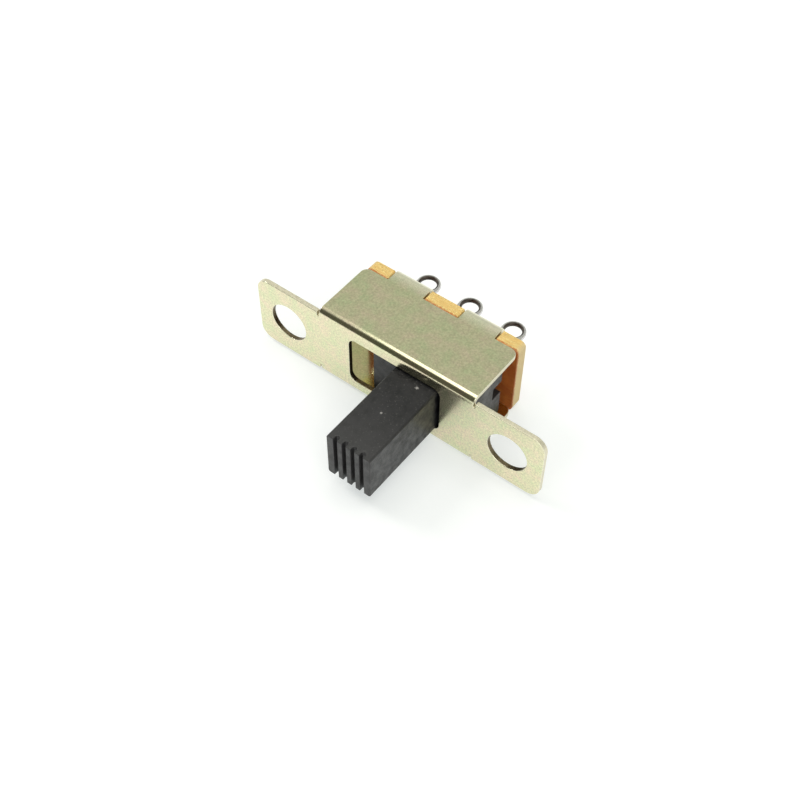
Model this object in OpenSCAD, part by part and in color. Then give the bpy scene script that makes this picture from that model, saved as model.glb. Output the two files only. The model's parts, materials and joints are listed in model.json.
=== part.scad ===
// Miniature two-way slide switch in a folded metal frame with two mounting ears.
// X runs along the flange, +Y from the panel face back to the solder lugs, +Z up.
// The origin is on the flange's front face, halfway between the mounting holes.
// All sizes are in millimetres.

/* [Mounting flange] */
// Length of the flange over both ears
flange_len = 19.4; // [19:0.1:26]
// Height of the ears
ear_h = 4.7; // [3.8:0.1:6]
// Radius of the ears' corners
ear_corner_r = 0.8; // [0.2:0.1:1.4]
// Distance between the centres of the mounting holes
hole_pitch = 15; // [14:0.1:15.4]
// Diameter of the mounting holes
hole_d = 2.5; // [1.6:0.1:3]

/* [Folded frame] */
// Thickness of the sheet
sheet_t = 0.3; // [0.2:0.05:0.4]
// Inside radius of the two long bends
bend_r = 0.15; // [0.1:0.05:0.25]
// Length of the body, from one open end to the other
body_len = 10.4; // [9.4:0.1:11]
// Height of the body over its two folded walls
body_h = 5.2; // [4.6:0.1:7]
// Depth of the walls, from the flange's front face to their back edges
wall_depth = 4.2; // [4.1:0.05:6]
// Radius of the walls' free corners
wall_corner_r = 0.45; // [0.1:0.05:0.5]
// Width of the relief notch where a bend ends at an ear
relief_w = 0.12; // [0.1:0.02:0.4]
// Height of the window that the lever slides in
window_h = 3.4; // [2.4:0.1:3.6]
// Radius of the window's corners
window_corner_r = 0.5; // [0.2:0.1:0.6]

/* [Folded tabs] */
// Width of each of the four tabs that hold the terminal board
tab_w = 2.4; // [1.6:0.1:2.8]
// Distance from the middle of the body to the middle of a tab
tab_x = 2.4; // [2:0.1:2.8]
// Length that a tab covers on the back of the board, from the body's outer face
tab_leg = 1.25; // [0.8:0.05:1.6]
// Inside radius of a tab's fold
tab_fold_r = 0.15; // [0.1:0.05:0.25]

/* [Terminal board] */
// Thickness of the terminal board
board_t = 0.8; // [0.5:0.05:1.6]
// Distance from each end of the body to the end of the board
board_end_inset = 0.04; // [0:0.02:0.4]
// Radius of the board's corners
board_corner_r = 0.35; // [0.1:0.05:0.9]
// Distance that the board's long edges lie below the body's outer faces
board_edge_inset = 0.03; // [0:0.01:0.1]

/* [Terminals] */
// Distance between neighbouring terminals, which is also the lever's travel
terminal_pitch = 3; // [2.6:0.1:3.6]
// Width of a terminal and of its round end
terminal_w = 1.5; // [1:0.05:1.8]
// Thickness of the terminal strip
terminal_t = 0.3; // [0.2:0.05:0.5]
// Diameter of the wire hole in a terminal
eyelet_d = 1; // [0.6:0.05:1.1]
// Distance from the back of the board to the middle of the wire hole
eyelet_reach = 2.27; // [1.6:0.01:4]
// Width of the contact blade inside the frame
blade_w = 2; // [1.8:0.05:2.2]
// Length of the contact blade in front of the board
blade_len = 1.25; // [1.1:0.05:1.4]
// Width that a staked barb adds on each side of a terminal
barb_w = 0.18; // [0.1:0.02:0.3]

/* [Slider] */
// Width of the lever along its travel
lever_w = 2.84; // [2.2:0.02:3.4]
// Radius of the lever's long edges
lever_edge_r = 0.15; // [0.1:0.05:0.3]
// Distance that the lever stands out in front of the flange
lever_reach = 5.75; // [3:0.05:9]
// Number of grip ribs on the lever's end
rib_count = 5; // [3:1:7]
// Depth of the grooves between the ribs
rib_depth = 0.32; // [0.1:0.02:0.6]
// Distance that the block stops short of the body's open end
block_end_inset = 0.48; // [0.2:0.02:0.8]
// Height of the slot that lets the blades pass through the block's ends
blade_slot_h = 0.9; // [0.7:0.05:1.2]
// Height of the pocket that holds the contact clip
pocket_h = 2.4; // [2:0.05:3]
// Distance from the block's front face to the floor of the pocket
pocket_floor = 1.35; // [1:0.05:1.4]

/* [Contact clip] */
// Thickness of the clip's spring strip
clip_t = 0.15; // [0.1:0.01:0.2]
// Width of each of the clip's fingers
finger_w = 1.3; // [0.9:0.05:1.6]
// Height of the contact bead on a finger
bead_h = 0.12; // [0.08:0.01:0.16]

/* [Clearances] */
// Gap between the block and each wall of the frame
slide_gap = 0.1; // [0.05:0.01:0.15]
// Gap between the block and the back of the flange
front_gap = 0.15; // [0.05:0.01:0.3]
// Gap between the block and the terminal board
back_gap = 0.65; // [0.55:0.05:0.9]
// Gap between the lever and the window's long edges
lever_gap = 0.12; // [0.05:0.01:0.2]
// Gap left between the lever and the end of the window at the end of the travel
stop_gap = 0.18; // [0.05:0.01:0.4]
// Gap on each side of a tab in the board's notch
tab_gap = 0.08; // [0.03:0.01:0.2]
// Gap around a terminal in its slot in the board
slot_gap = 0.03; // [0.01:0.01:0.06]
// Gap between the clip's ends and the pocket
clip_gap = 0.05; // [0.02:0.01:0.1]
// Gap between a contact bead and a blade
contact_gap = 0.02; // [0.01:0.01:0.04]

/* [Hidden] */
$fn = 48;
cut = 0.05;                                  // how far a cutting shape passes through a face
travel = terminal_pitch;
slider_x = travel / 2;                       // the lever stands at the +X end of its travel
lever_h = window_h - 2 * lever_gap;
window_w = lever_w + travel + 2 * stop_gap;
bend_outer_r = bend_r + sheet_t;
plate_h = body_h - 2 * bend_outer_r;         // flat height of the front between the bends
relief_depth = 0.1;                          // how far a relief notch passes the bend line
board_len = body_len - 2 * board_end_inset;
board_h = body_h - 2 * board_edge_inset;
board_back = wall_depth + board_t;
notch_w = tab_w + 2 * tab_gap;
notch_half_h = body_h / 2 - sheet_t - tab_fold_r;
tab_end_r = 0.25;                            // rounding of a tab's free corners
blade_tip = wall_depth - blade_len;
blade_corner_r = 0.3;
barb_len = 0.3;
block_front = sheet_t + front_gap;
block_back = wall_depth - back_gap;
block_depth = block_back - block_front;
block_len = body_len - travel - 2 * block_end_inset;
block_h = body_h - 2 * (sheet_t + slide_gap);
block_edge_r = 0.2;
rib_pitch = lever_w / rib_count;
groove_w = 0.45 * rib_pitch;
blade_tip_gap = 0.2;
clip_len = travel + finger_w;
clip_h = pocket_h - 2 * clip_gap;
pocket_len = clip_len + 2 * clip_gap;
pocket_front = block_front + pocket_floor;
finger_z = terminal_t / 2 + contact_gap + bead_h + clip_t / 2;
bead_r = 0.32;
bead_y = blade_tip + 0.4;
finger_land = 0.2;                           // half the length of a finger's straight part
mouth_y = bead_y + 0.38;
mouth_z = finger_z + 0.22;

// Rounded rectangle about the origin
module round_rect(size, r) {
    square([size[0] - 2 * r, size[1]], center = true);
    square([size[0], size[1] - 2 * r], center = true);
    for (x = [-1, 1], y = [-1, 1])
        translate([x * (size[0] / 2 - r), y * (size[1] / 2 - r)])
            circle(r = r);
}

// Extrudes a section drawn as (Y, Z) along X, centred on the origin
module along_x(length) {
    rotate([90, 0, 90])
        linear_extrude(height = length, center = true)
            children();
}

// Extrudes an outline drawn as (X, Z) from the plane y back to y + depth
module along_y(y, depth) {
    translate([0, y + depth, 0])
        rotate([90, 0, 0])
            linear_extrude(height = depth)
                children();
}

// Channel section from the plane y back to the walls' edges, with rounded front corners
module channel_section(y, h, r) {
    translate([y + r, -h / 2])
        square([wall_depth - y - r, h]);
    translate([y, -h / 2 + r])
        square([2 * r, h - 2 * r]);
    for (z = [-1, 1])
        translate([y + r, z * (h / 2 - r)])
            circle(r = r);
}

// Outline of the walls seen from above, with their free corners rounded
module wall_outline() {
    straight_len = body_len - 2 * wall_corner_r;
    translate([-body_len / 2, -cut])
        square([body_len, wall_depth + cut - wall_corner_r]);
    translate([-straight_len / 2, 0])
        square([straight_len, wall_depth]);
    for (x = [-1, 1])
        translate([x * straight_len / 2, wall_depth - wall_corner_r])
            circle(r = wall_corner_r);
}

// Front plate and the two walls, folded from one strip of sheet
module folded_body() {
    intersection() {
        along_x(body_len)
            difference() {
                channel_section(0, body_h, bend_outer_r);
                translate([cut, 0])
                    channel_section(sheet_t - cut, body_h - 2 * sheet_t, bend_r);
                translate([wall_depth - cut, -body_h / 2 + sheet_t])
                    square([2 * cut, body_h - 2 * sheet_t]);
            }
        translate([0, 0, -body_h / 2 - cut])
            linear_extrude(height = body_h + 2 * cut)
                wall_outline();
    }
}

// Flange outline: two ears, cut back beside each end of the bends
module flange_outline() {
    difference() {
        round_rect([flange_len, ear_h], ear_corner_r);
        for (z = [-1, 1])
            translate([0, z * (plate_h / 2 - relief_depth + ear_h / 2)])
                square([body_len + 2 * relief_w, ear_h], center = true);
    }
}

// Tab folded down over the back of the board, drawn for the upper wall
module tab() {
    fold_y = board_back - tab_fold_r;
    fold_z = body_h / 2 - sheet_t - tab_fold_r;
    fold_outer_r = tab_fold_r + sheet_t;
    leg_end = body_h / 2 - tab_leg;
    along_x(tab_w) {
        translate([wall_depth - cut, body_h / 2 - sheet_t])
            square([fold_y - wall_depth + cut, sheet_t]);
        intersection() {
            difference() {
                translate([fold_y, fold_z])
                    circle(r = fold_outer_r);
                translate([fold_y, fold_z])
                    circle(r = tab_fold_r);
            }
            translate([fold_y, fold_z])
                square(2 * fold_outer_r);
        }
    }
    along_y(board_back, sheet_t)
        difference() {
            translate([-tab_w / 2, leg_end])
                square([tab_w, fold_z - leg_end]);
            for (x = [-1, 1])
                translate([x * (tab_w / 2 - tab_end_r), leg_end + tab_end_r])
                    difference() {
                        translate([min(x, 0) * 2 * tab_end_r, -2 * tab_end_r])
                            square(2 * tab_end_r);
                        circle(r = tab_end_r);
                    }
        }
}

module frame() {
    color([0.80, 0.78, 0.66])
        difference() {
            union() {
                folded_body();
                along_y(0, sheet_t)
                    flange_outline();
                for (x = [-1, 1], side = [0, 1])
                    translate([x * tab_x, 0, 0])
                        mirror([0, 0, side])
                            tab();
            }
            along_y(-cut, sheet_t + 2 * cut)
                round_rect([window_w, window_h], window_corner_r);
            for (x = [-1, 1])
                translate([x * hole_pitch / 2, sheet_t + cut, 0])
                    rotate([90, 0, 0])
                        cylinder(d = hole_d, h = sheet_t + 2 * cut);
        }
}

module terminal_board() {
    color([0.87, 0.60, 0.27])
        along_y(wall_depth, board_t)
            difference() {
                round_rect([board_len, board_h], board_corner_r);
                for (x = [-1, 1], z = [-1, 1])
                    translate([x * tab_x, z * (notch_half_h + board_h / 2)])
                        square([notch_w, board_h], center = true);
                for (i = [-1, 0, 1])
                    translate([i * terminal_pitch, 0])
                        square([terminal_w + 2 * slot_gap, terminal_t + 2 * slot_gap], center = true);
            }
}

// One flat terminal: contact blade, shank, staked barbs and round end with a wire hole
module terminal(i) {
    eyelet_y = board_back + eyelet_reach;
    translate([i * terminal_pitch, 0, -terminal_t / 2])
        linear_extrude(height = terminal_t)
            difference() {
                union() {
                    translate([0, wall_depth - blade_len / 2])
                        round_rect([blade_w, blade_len], blade_corner_r);
                    translate([-blade_w / 2, wall_depth - blade_len / 2])
                        square([blade_w, blade_len / 2]);
                    translate([-terminal_w / 2, wall_depth - cut])
                        square([terminal_w, eyelet_y - wall_depth + cut]);
                    translate([0, eyelet_y])
                        circle(d = terminal_w);
                    polygon([
                        [-terminal_w / 2 - barb_w, board_back],
                        [terminal_w / 2 + barb_w, board_back],
                        [terminal_w / 2, board_back + barb_len],
                        [-terminal_w / 2, board_back + barb_len]
                    ]);
                }
                translate([0, eyelet_y])
                    circle(d = eyelet_d);
            }
}

module terminal_left() {
    color([0.78, 0.78, 0.80])
        terminal(-1);
}

module terminal_middle() {
    color([0.78, 0.78, 0.80])
        terminal(0);
}

module terminal_right() {
    color([0.78, 0.78, 0.80])
        terminal(1);
}

// Lever with grip ribs across its end, drawn about its own middle
module lever() {
    difference() {
        along_y(-lever_reach, lever_reach + block_front + cut)
            round_rect([lever_w, lever_h], lever_edge_r);
        for (i = [1 : rib_count - 1])
            translate([i * rib_pitch - lever_w / 2, -lever_reach, -body_h / 2]) {
                translate([-groove_w / 2, -cut, 0])
                    cube([groove_w, rib_depth - groove_w / 2 + cut, body_h]);
                translate([0, rib_depth - groove_w / 2, 0])
                    cylinder(d = groove_w, h = body_h);
            }
    }
}

// Block with a pocket for the clip and a slot in each end for the blades
module block() {
    difference() {
        along_x(block_len)
            translate([(block_front + block_back) / 2, 0])
                round_rect([block_depth, block_h], block_edge_r);
        along_y(pocket_front, block_back - pocket_front + cut)
            square([pocket_len, pocket_h], center = true);
        along_y(blade_tip - blade_tip_gap, block_back)
            square([block_len + 2 * cut, blade_slot_h], center = true);
    }
}

module slider() {
    color([0.20, 0.20, 0.22])
        translate([slider_x, 0, 0]) {
            lever();
            block();
        }
}

// Strip of the clip's thickness along straight runs between points given as (Y, Z)
module bent_strip(points) {
    for (i = [0 : len(points) - 2]) {
        run = points[i + 1] - points[i];
        translate(points[i])
            rotate(atan2(run[1], run[0]))
                translate([0, -clip_t / 2])
                    square([norm(run), clip_t]);
    }
    for (p = points)
        translate(p)
            circle(d = clip_t);
}

// Upper or lower spring arm, from the clip's base to its flared mouth
module arm_section(side) {
    bent_strip([
        [pocket_front + clip_t / 2, 0],
        [pocket_front + clip_t / 2, side * (clip_h - clip_t) / 2],
        [bead_y - finger_land, side * finger_z],
        [bead_y + finger_land, side * finger_z],
        [mouth_y, side * mouth_z]
    ]);
}

module contact_clip() {
    color([0.80, 0.66, 0.40])
        translate([slider_x, 0, 0]) {
            translate([-clip_len / 2, pocket_front, -clip_h / 2 + clip_t / 2])
                cube([clip_len, clip_t, clip_h - clip_t]);
            for (x = [-1, 1], side = [-1, 1])
                translate([x * travel / 2, 0, 0]) {
                    along_x(finger_w)
                        arm_section(side);
                    intersection() {
                        translate([0, bead_y, side * (finger_z - clip_t / 2 - bead_h + bead_r)])
                            sphere(r = bead_r);
                        translate([0, bead_y, side * (finger_z - bead_h)])
                            cube([finger_w, 4 * finger_land, clip_t + 2 * bead_h], center = true);
                    }
                }
        }
}

frame();
terminal_board();
terminal_left();
terminal_middle();
terminal_right();
slider();
contact_clip();
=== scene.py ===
import json
import math

import bmesh
import bpy
import numpy as np
from mathutils import Matrix, Vector, noise
from mathutils.geometry import delaunay_2d_cdt


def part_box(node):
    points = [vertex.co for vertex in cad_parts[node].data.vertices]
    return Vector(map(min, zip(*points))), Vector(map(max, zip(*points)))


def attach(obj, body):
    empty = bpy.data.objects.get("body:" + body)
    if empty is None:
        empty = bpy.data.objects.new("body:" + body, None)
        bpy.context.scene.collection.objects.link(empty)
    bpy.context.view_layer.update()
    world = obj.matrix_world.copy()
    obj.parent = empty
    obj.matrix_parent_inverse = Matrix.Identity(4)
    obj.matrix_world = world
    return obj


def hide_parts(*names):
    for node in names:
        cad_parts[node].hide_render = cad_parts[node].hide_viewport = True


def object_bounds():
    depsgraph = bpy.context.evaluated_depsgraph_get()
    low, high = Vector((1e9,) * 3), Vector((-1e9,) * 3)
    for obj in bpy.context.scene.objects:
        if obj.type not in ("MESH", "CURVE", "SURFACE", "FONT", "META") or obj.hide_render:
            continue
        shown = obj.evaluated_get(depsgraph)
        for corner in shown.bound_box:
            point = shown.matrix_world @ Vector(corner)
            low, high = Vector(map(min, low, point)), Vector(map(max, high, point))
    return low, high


# Looks of a miniature slide switch: a plated frame folded round a laminate terminal board,
# three tinned terminals, and a moulded slider that carries a bronze contact clip.
# Pieces are made in millimetres in the part's own axes and scaled to metres when finished.

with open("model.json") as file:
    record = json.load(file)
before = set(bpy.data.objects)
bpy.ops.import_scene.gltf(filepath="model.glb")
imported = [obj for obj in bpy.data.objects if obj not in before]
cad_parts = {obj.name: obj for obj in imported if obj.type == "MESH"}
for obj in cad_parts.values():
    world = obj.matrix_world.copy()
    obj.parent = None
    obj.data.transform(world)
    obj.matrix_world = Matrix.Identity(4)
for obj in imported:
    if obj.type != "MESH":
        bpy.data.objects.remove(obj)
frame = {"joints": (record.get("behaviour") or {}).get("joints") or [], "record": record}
cad_low, cad_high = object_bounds()
MM = 0.001


# ---- sizes, in millimetres

def box_mm(node):
    """Lowest and highest corner of a CAD node, in millimetres."""
    low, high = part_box(node)
    return low / MM, high / MM


record = frame["record"]
mounts = {mount["name"]: mount for mount in record["mounts"]}
frame_high = box_mm("frame")[1]
board_low, board_high = box_mm("terminal_board")
terminal_low, terminal_high = box_mm("terminal_middle")
slider_low, slider_high = box_mm("slider")
clip_high = box_mm("contact_clip")[1]

# Mounting holes and wire holes
hole_r = mounts["panel_holes"]["dims"]["hole_r_mm"]
hole_x = mounts["panel_holes"]["dims"]["spacing_x_mm"] / 2
wire_hole_r = mounts["wire_hole_middle"]["dims"]["r_mm"]
eyelet_y = mounts["wire_hole_middle"]["pos_m"][1] / MM
terminal_pitch = mounts["wire_hole_right"]["pos_m"][0] / MM

# Folded frame
sheet_t = 0.3
bend_r = 0.15
flange_half = frame_high.x
ear_half_h = 2.35
ear_corner_r = 0.8
body_half = 5.2
body_half_h = frame_high.z
wall_depth = board_low.y
wall_corner_r = 0.45
relief_w = 0.12
relief_depth = 0.1
window_half_w = 3.1
window_half_h = 1.7
window_corner_r = 0.5
tab_x = 2.4
tab_half_w = 1.2
tab_leg = 1.25
tab_fold_r = 0.15
tab_corner_r = 0.25
rim_round = 0.035

# Terminal board
board_back = board_high.y
board_t = board_back - wall_depth
board_corner_r = 0.35
notch_gap = 0.08
slot_gap = 0.03

# Terminals
terminal_t = terminal_high.z - terminal_low.z
terminal_half_w = terminal_high.y - eyelet_y
blade_half_w = terminal_high.x
blade_tip = terminal_low.y
blade_corner_r = 0.3
barb_w = 0.18
barb_len = 0.3

# Slider
travel = -frame["joints"][0]["range_m"][0] / MM
slider_x = travel / 2
lever_half_w = 1.42
lever_half_h = 1.58
lever_edge_r = 0.15
lever_tip = slider_low.y
rib_count = 5
rib_depth = 0.32
rib_pitch = 2 * lever_half_w / rib_count
groove_share = 0.45
groove_w = groove_share * rib_pitch
block_front = 0.45
block_back = slider_high.y
block_half_len = slider_high.x - slider_x
block_half_h = slider_high.z
block_edge_r = 0.2
pocket_half_h = 1.2
pocket_front = 1.8
pocket_half_len = 2.2
blade_slot_half_h = 0.45
blade_slot_play = 0.2
blade_slot_front = blade_tip - blade_slot_play

# Contact clip
clip_t = 0.15
clip_half_h = clip_high.z
finger_w = 1.3
finger_z = 0.365
bead_h = 0.12
bead_r = 0.25
bead_inset = 0.4
bead_y = blade_tip + bead_inset
finger_land = 0.2
mouth_len = 0.38
mouth_flare = 0.22
mouth_y = bead_y + mouth_len
mouth_z = finger_z + mouth_flare


# ---- camera

CAMERA_AZIMUTH = 36.967
CAMERA_ELEVATION = 51.368
CAMERA_ROLL = 0.584
CAMERA_DISTANCE = 66.812
CAMERA_OFFSET = (0.379, -0.812)  # aim point, right of and above the part's origin
CAMERA_LENS = 54.979
CAMERA_SENSOR = 36.0


def make_camera():
    """Camera above the lever's right side, looking down at the flange and the top wall."""
    azimuth, elevation = math.radians(CAMERA_AZIMUTH), math.radians(CAMERA_ELEVATION)
    roll = math.radians(CAMERA_ROLL)
    back = Vector((math.sin(azimuth) * math.cos(elevation),
                   -math.cos(azimuth) * math.cos(elevation),
                   math.sin(elevation)))
    level = Vector((math.cos(azimuth), math.sin(azimuth), 0))
    rise = back.cross(level)
    right = math.cos(roll) * level + math.sin(roll) * rise
    up = math.cos(roll) * rise - math.sin(roll) * level
    place = back * CAMERA_DISTANCE + level * CAMERA_OFFSET[0] + rise * CAMERA_OFFSET[1]
    lens = bpy.data.cameras.new("camera")
    lens.lens = CAMERA_LENS
    lens.sensor_width = CAMERA_SENSOR
    lens.clip_start = 0.5 * MM
    lens.clip_end = 10
    camera = new_object("camera", lens)
    camera.matrix_world = Matrix.Translation(place * MM) @ Matrix((right, up, back)).transposed().to_4x4()
    bpy.context.scene.camera = camera


# ---- node helpers

def add_node(tree, kind, links=None, **settings):
    """Adds a node, sets its properties, fills or links its inputs, and gives its outputs."""
    made = tree.nodes.new(kind)
    for name, value in settings.items():
        setattr(made, name, value)
    for key, value in (links or {}).items():
        if isinstance(value, bpy.types.NodeSocket):
            tree.links.new(value, made.inputs[key])
        else:
            made.inputs[key].default_value = value
    return made.outputs


def place_on_piece(tree, stretch=(1, 1, 1)):
    """Object coordinates in millimetres, with each axis stretched by its own factor."""
    coordinates = add_node(tree, "ShaderNodeTexCoord")["Object"]
    scale = tuple(1 / (MM * factor) for factor in stretch)
    return add_node(tree, "ShaderNodeMapping", {"Vector": coordinates, "Scale": scale})["Vector"]


def along_axes(tree, vector):
    """The X, Y and Z of a vector, by name."""
    return add_node(tree, "ShaderNodeSeparateXYZ", {"Vector": vector})


def grain(tree, size, detail=3.0, roughness=0.55, stretch=(1, 1, 1)):
    """Noise whose lumps are about this size in millimetres, times the stretch along each axis."""
    place = place_on_piece(tree, stretch)
    return add_node(tree, "ShaderNodeTexNoise",
                    {"Vector": place, "Scale": 1 / size, "Detail": detail, "Roughness": roughness})["Fac"]


def spread(tree, value, low, high, to_low=0.0, to_high=1.0):
    """Maps a value from one range to another, clamped."""
    return add_node(tree, "ShaderNodeMapRange", {"Value": value, "From Min": low, "From Max": high,
                                                 "To Min": to_low, "To Max": to_high})["Result"]


def vary(tree, lumps, low=0.0, high=1.0):
    """Maps the range that most of a noise lies in to another."""
    return spread(tree, lumps, 0.3, 0.7, low, high)


def blend(tree, factor, first, second, mode="MIX"):
    """Mixes two colours."""
    return add_node(tree, "ShaderNodeMix", {0: factor, 6: first, 7: second},
                    data_type="RGBA", blend_type=mode)[2]


def combine(tree, operation, first, second):
    """Arithmetic on two values."""
    return add_node(tree, "ShaderNodeMath", {0: first, 1: second}, operation=operation)["Value"]


def edge_wear(tree, low, most):
    """Wear up to this much on convex edges, from the attribute that each piece carries."""
    sharpness = add_node(tree, "ShaderNodeAttribute", attribute_name="edge")["Fac"]
    return spread(tree, sharpness, low, 1.0, 0.0, most)


def relief(tree, height, depth, normal=None):
    """Bump whose height of 1 stands for this depth in millimetres."""
    links = {"Height": height, "Distance": depth * MM}
    if normal is not None:
        links["Normal"] = normal
    return add_node(tree, "ShaderNodeBump", links)["Normal"]


def new_finish(name, **constants):
    """A material and its tree, with the main shader's sockets that stay the same all over set."""
    material = bpy.data.materials.new(name)
    material.use_nodes = True
    shader = material.node_tree.nodes["Principled BSDF"]
    for socket, value in constants.items():
        shader.inputs[socket.replace("_", " ")].default_value = value
    return material, material.node_tree


def link_finish(tree, colour, roughness, normal):
    """Links what varies over the surface to the main shader."""
    shader = tree.nodes["Principled BSDF"]
    for socket, value in (("Base Color", colour), ("Roughness", roughness), ("Normal", normal)):
        tree.links.new(value, shader.inputs[socket])


def rgb(red, green, blue):
    """A full colour."""
    return (red, green, blue, 1.0)


# ---- finishes

PLATING = rgb(0.82, 0.78, 0.52)
PLATING_GREEN = rgb(0.70, 0.78, 0.49)
PLATING_PINK = rgb(0.90, 0.75, 0.58)
PLATING_PALE = rgb(0.90, 0.88, 0.74)
WHITE = rgb(1.0, 1.0, 1.0)
# Darker tone for the sheet's back faces, inside the frame: painted shade
INNER_SHADE_TONE = rgb(0.80, 0.76, 0.61)
SHEARED_DARK = rgb(0.62, 0.58, 0.44)
SHEARED_LIGHT = rgb(0.82, 0.78, 0.62)
# Walls of the window and the round holes: partly the sheared edge's own darker tone, mostly painted shade
# inside the openings
OPENING_SHADE_DARK = rgb(0.09, 0.07, 0.04)
OPENING_SHADE_LIGHT = rgb(0.24, 0.20, 0.12)
TAB_PALENESS = 0.7  # how far the tabs are made paler and whiter
FRONT_SCUFF = 0.12  # added roughness on the front of the flange
TAB_SCUFF = 0.25  # added roughness on the tabs


def make_plating(name, tone):
    """Yellow-passivated zinc on rolled steel: satin, faintly mottled green and pink."""
    material, tree = new_finish(name, Metallic=1.0)
    place = place_on_piece(tree)
    patches = grain(tree, 0.9, detail=4.0)
    mottle = grain(tree, 0.16, roughness=0.7)
    tint = blend(tree, spread(tree, patches, 0.36, 0.64), PLATING_GREEN, PLATING_PINK)
    tint = blend(tree, vary(tree, mottle, 0.1, 0.9), tint, PLATING)
    shade = vary(tree, grain(tree, 0.12), 0.80, 1.09)
    colour = blend(tree, 1.0, tint, shade, "MULTIPLY")
    depth = along_axes(tree, place)["Y"]
    on_tabs = spread(tree, depth, wall_depth - 0.1, board_back)
    # Wear on convex edges, and the tabs made paler and whiter from their roots towards the folds
    rubbed = combine(tree, "MAXIMUM", edge_wear(tree, 0.3, 0.7),
                     combine(tree, "MULTIPLY", on_tabs, TAB_PALENESS))
    colour = blend(tree, rubbed, colour, PLATING_PALE)
    scuffs = combine(tree, "ADD", spread(tree, depth, 0.01, 0.1, FRONT_SCUFF, 0.0),
                     combine(tree, "MULTIPLY", on_tabs, TAB_SCUFF))
    rolled = grain(tree, 0.09, detail=2.0, stretch=(12, 1, 1))
    pitted = relief(tree, grain(tree, 0.05, detail=2.0), 0.0003)
    # The tone multiplies the colour: white on the outer faces, darker on the inner faces as painted shade
    link_finish(tree, blend(tree, 1.0, colour, tone, "MULTIPLY"),
                combine(tree, "ADD", vary(tree, mottle, 0.10, 0.15), scuffs),
                relief(tree, rolled, 0.0004, pitted))
    return material


def make_sheared_plating(name, dark, light):
    """The sheet's sheared edges: torn grain across the thickness under a thinner plating. Given near-black
    colours, it paints shade on the walls of the openings.
    """
    material, tree = new_finish(name, Metallic=1.0)
    torn = grain(tree, 0.08, detail=4.0, roughness=0.7)
    link_finish(tree, blend(tree, spread(tree, torn, 0.35, 0.65), dark, light),
                vary(tree, torn, 0.34, 0.5), relief(tree, torn, 0.003))
    return material


LAMINATE_DARK = rgb(0.48, 0.099, 0.021)
LAMINATE_LIGHT = rgb(0.66, 0.19, 0.042)
LAMINATE_CUT = rgb(0.95, 0.74, 0.30)
LAMINATE_CUT_DARK = rgb(0.80, 0.52, 0.17)
LAMINATE_SAWN = rgb(0.88, 0.74, 0.46)


def make_laminate():
    """Pressed face of the paper laminate: brown resin over cloudy paper fibres."""
    material, tree = new_finish("pressed_laminate", Specular_IOR_Level=0.5)
    clouds = grain(tree, 0.8, detail=5.0, roughness=0.65)
    fibres = grain(tree, 0.08, stretch=(4, 1, 1))
    colour = blend(tree, vary(tree, clouds), LAMINATE_DARK, LAMINATE_LIGHT)
    colour = blend(tree, spread(tree, fibres, 0.45, 0.75, 0.0, 0.2), colour, LAMINATE_CUT_DARK)
    link_finish(tree, colour, vary(tree, fibres, 0.28, 0.42), relief(tree, fibres, 0.004))
    return material


def make_laminate_edge():
    """Punched edge of the laminate: pale torn paper in layers, sawn at both ends, with painted shade along
    the front where the board meets the rear edge of the frame's walls.
    """
    material, tree = new_finish("laminate_edge", Specular_IOR_Level=0.3)
    layers = grain(tree, 0.07, stretch=(14, 1, 14))
    torn = grain(tree, 0.14, detail=4.0, roughness=0.7)
    fluff = combine(tree, "MULTIPLY", spread(tree, layers, 0.35, 0.6), spread(tree, torn, 0.3, 0.55))
    colour = blend(tree, fluff, LAMINATE_CUT_DARK, LAMINATE_CUT)
    place = along_axes(tree, place_on_piece(tree))
    ends = combine(tree, "ABSOLUTE", place["X"], 0.0)
    ends = spread(tree, ends, board_high.x - 0.3, board_high.x - 0.02)
    colour = blend(tree, combine(tree, "MULTIPLY", ends, 0.7), colour, LAMINATE_SAWN)
    # Painted shade: a ragged band along the front of the edge, where it meets the frame's walls, darkened to
    # the face's brown
    front = combine(tree, "ADD", place["Y"], vary(tree, torn, -0.08, 0.04))
    front = spread(tree, front, wall_depth + 0.02, wall_depth + 0.12, 0.8, 0.0)
    link_finish(tree, blend(tree, front, colour, LAMINATE_DARK),
                vary(tree, torn, 0.55, 0.8), relief(tree, fluff, 0.03))
    return material


TIN_DULL = rgb(0.58, 0.57, 0.60)
TIN_BRIGHT = rgb(0.74, 0.73, 0.74)
TIN_RUBBED = rgb(0.80, 0.72, 0.52)
# Near-black tones of the wire holes' walls
HOLE_DARKEST = rgb(0.03, 0.025, 0.02)
HOLE_DARKER = rgb(0.12, 0.10, 0.085)


def make_tin():
    """Tinned brass: bright, with fine drawn lines along the strip and duller clouds."""
    material, tree = new_finish("tinned_strip", Metallic=1.0)
    clouds = grain(tree, 0.5, detail=4.0)
    drawn = grain(tree, 0.06, detail=2.0, stretch=(1, 14, 1))
    colour = blend(tree, vary(tree, clouds), TIN_DULL, TIN_BRIGHT)
    link_finish(tree, blend(tree, edge_wear(tree, 0.4, 0.25), colour, TIN_RUBBED),
                vary(tree, clouds, 0.32, 0.2), relief(tree, drawn, 0.002))
    return material


def make_dark_hole_tin():
    """Wall of a wire hole, made nearly black in uneven blots."""
    material, tree = new_finish("stained_tin", Metallic=0.6)
    blots = grain(tree, 0.2)
    link_finish(tree, blend(tree, spread(tree, blots, 0.35, 0.7), HOLE_DARKEST, HOLE_DARKER),
                vary(tree, blots, 0.35, 0.5), relief(tree, blots, 0.004))
    return material


PLASTIC = rgb(0.004, 0.004, 0.0052)
PLASTIC_HAZY = rgb(0.013, 0.013, 0.0146)
PLASTIC_RUBBED = rgb(0.13, 0.13, 0.13)
DUST = rgb(0.30, 0.29, 0.28)

# Nicks in the lever's top: place and size
NICKS = (((1.9, -0.42, lever_half_h), 0.13), ((1.43, -2.9, lever_half_h), 0.09))


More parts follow.
